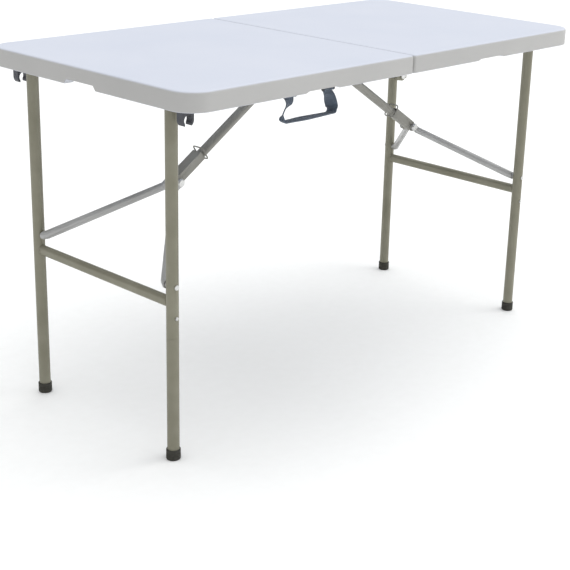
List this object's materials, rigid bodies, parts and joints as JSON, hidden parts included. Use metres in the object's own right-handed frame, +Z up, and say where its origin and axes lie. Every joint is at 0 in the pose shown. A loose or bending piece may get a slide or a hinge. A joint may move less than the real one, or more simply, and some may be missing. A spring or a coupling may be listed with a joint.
{
  "type": "folding table",
  "caption": "Rectangular fold-in-half table: white moulded top in two hinged halves, grey tube leg frames that fold in under it, braces with lock rings, side carry handle.",
  "frame": {"origin": "on the floor under the middle of the open table top", "axes": "+X along the table, from the half with the carry handle to the other half; the handle is on the -Y side; +Z up"},
  "size_m": [1.22, 0.61, 0.74],
  "materials": {
    "panel": "fine-grained off-white moulded polyethylene",
    "frame_steel": "grey powder coat",
    "grey_steel": "light grey coat",
    "bright_steel": "zinc plated",
    "black_plastic": "black moulded plastic",
    "webbing": "woven dark slate webbing"
  },
  "bodies": {
    "left_half": {"left_panel": "panel", "left_front_side_rail": "frame_steel", "left_rear_side_rail": "frame_steel", "left_cross_rail": "frame_steel", "left_brace_bracket": "frame_steel", "left_frame_screws": "bright_steel", "left_rail_end_caps": "black_plastic", "front_hinge_left_leaf": "grey_steel", "rear_hinge_left_leaf": "grey_steel", "hinge_pins": "bright_steel", "front_latch_clip": "black_plastic", "rear_latch_clip": "black_plastic", "handle_mounts": "black_plastic"},
    "carry_handle": {"handle_strap": "webbing"},
    "right_half": {"right_panel": "panel", "right_front_side_rail": "frame_steel", "right_rear_side_rail": "frame_steel", "right_cross_rail": "frame_steel", "right_brace_bracket": "frame_steel", "right_frame_screws": "bright_steel", "right_rail_end_caps": "black_plastic", "front_hinge_right_leaf": "grey_steel", "rear_hinge_right_leaf": "grey_steel"},
    "left_leg_frame": {"left_pivot_tube": "frame_steel", "left_front_upper_leg": "frame_steel", "left_rear_upper_leg": "frame_steel", "left_crossbar": "frame_steel", "left_brace_rivets": "bright_steel", "left_front_lower_leg": "frame_steel", "left_rear_lower_leg": "frame_steel", "left_front_foot": "black_plastic", "left_rear_foot": "black_plastic"},
    "left_front_button": {"left_front_snap_button": "bright_steel"},
    "left_rear_button": {"left_rear_snap_button": "bright_steel"},
    "left_brace": {"left_brace_tube": "frame_steel"},
    "left_brace_fork": {"left_saddle": "grey_steel", "left_front_brace_arm": "grey_steel", "left_rear_brace_arm": "grey_steel", "left_brace_joint_pin": "bright_steel"},
    "left_ring": {"left_lock_ring": "bright_steel"},
    "right_leg_frame": {"right_pivot_tube": "frame_steel", "right_front_upper_leg": "frame_steel", "right_rear_upper_leg": "frame_steel", "right_crossbar": "frame_steel", "right_brace_rivets": "bright_steel", "right_front_lower_leg": "frame_steel", "right_rear_lower_leg": "frame_steel", "right_front_foot": "black_plastic", "right_rear_foot": "black_plastic"},
    "right_front_button": {"right_front_snap_button": "bright_steel"},
    "right_rear_button": {"right_rear_snap_button": "bright_steel"},
    "right_brace": {"right_brace_tube": "frame_steel"},
    "right_brace_fork": {"right_saddle": "grey_steel", "right_front_brace_arm": "grey_steel", "right_rear_brace_arm": "grey_steel", "right_brace_joint_pin": "bright_steel"},
    "right_ring": {"right_lock_ring": "bright_steel"}
  },
  "joints": [
    {"name": "centre_fold", "type": "hinge", "parent": "left_half", "child": "right_half", "pos_m": [0, 0, 0.694], "axis": [0, -1, 0], "range_deg": [-74, 0]},
    {"name": "left_leg_fold", "type": "hinge", "parent": "left_half", "child": "left_leg_frame", "pos_m": [-0.568, 0, 0.708], "axis": [0, -1, 0], "range_deg": [0, 85]},
    {"name": "right_leg_fold", "type": "hinge", "parent": "right_half", "child": "right_leg_frame", "pos_m": [0.568, 0, 0.708], "axis": [0, 1, 0], "range_deg": [0, 78]},
    {"name": "handle_swing", "type": "hinge", "parent": "left_half", "child": "carry_handle", "pos_m": [-0.279, -0.27, 0.694], "axis": [1, 0, 0], "range_deg": [-85, 40]},
    {"name": "left_brace_swing", "type": "hinge", "parent": "left_half", "child": "left_brace", "pos_m": [-0.057, 0, 0.687], "axis": [0, 1, 0], "range_deg": [0, 36.32]},
    {"name": "left_fork_swing", "type": "hinge", "parent": "left_brace", "child": "left_brace_fork", "pos_m": [-0.37966, 0, 0.47863], "axis": [0, -1, 0], "range_deg": [0, 175.92]},
    {"name": "left_ring_slide", "type": "slide", "parent": "left_brace", "child": "left_ring", "axis": [0.8401, 0, 0.5425], "range_m": [-0.06, 0.12]},
    {"name": "left_front_button_press", "type": "slide", "parent": "left_leg_frame", "child": "left_front_button", "axis": [0, 1, 0], "range_m": [0, 0.0045], "stiffness_N_per_m": 800, "springref_m": -0.002},
    {"name": "left_rear_button_press", "type": "slide", "parent": "left_leg_frame", "child": "left_rear_button", "axis": [0, -1, 0], "range_m": [0, 0.0045], "stiffness_N_per_m": 800, "springref_m": -0.002},
    {"name": "right_brace_swing", "type": "hinge", "parent": "right_half", "child": "right_brace", "pos_m": [0.057, 0, 0.687], "axis": [0, -1, 0], "range_deg": [0, 34.36]},
    {"name": "right_fork_swing", "type": "hinge", "parent": "right_brace", "child": "right_brace_fork", "pos_m": [0.37966, 0, 0.47863], "axis": [0, 1, 0], "range_deg": [0, 166.32]},
    {"name": "right_ring_slide", "type": "slide", "parent": "right_brace", "child": "right_ring", "axis": [-0.8401, 0, 0.5425], "range_m": [-0.06, 0.12]},
    {"name": "right_front_button_press", "type": "slide", "parent": "right_leg_frame", "child": "right_front_button", "axis": [0, 1, 0], "range_m": [0, 0.0045], "stiffness_N_per_m": 800, "springref_m": -0.002},
    {"name": "right_rear_button_press", "type": "slide", "parent": "right_leg_frame", "child": "right_rear_button", "axis": [0, -1, 0], "range_m": [0, 0.0045], "stiffness_N_per_m": 800, "springref_m": -0.002}
  ],
  "couplings": [
    {"joint": "left_brace_swing", "follows": "left_leg_fold", "ratio": 0.42139},
    {"joint": "left_fork_swing", "follows": "left_leg_fold", "ratio": 2.0637},
    {"joint": "right_brace_swing", "follows": "right_leg_fold", "ratio": 0.43408},
    {"joint": "right_fork_swing", "follows": "right_leg_fold", "ratio": 2.126}
  ]
}
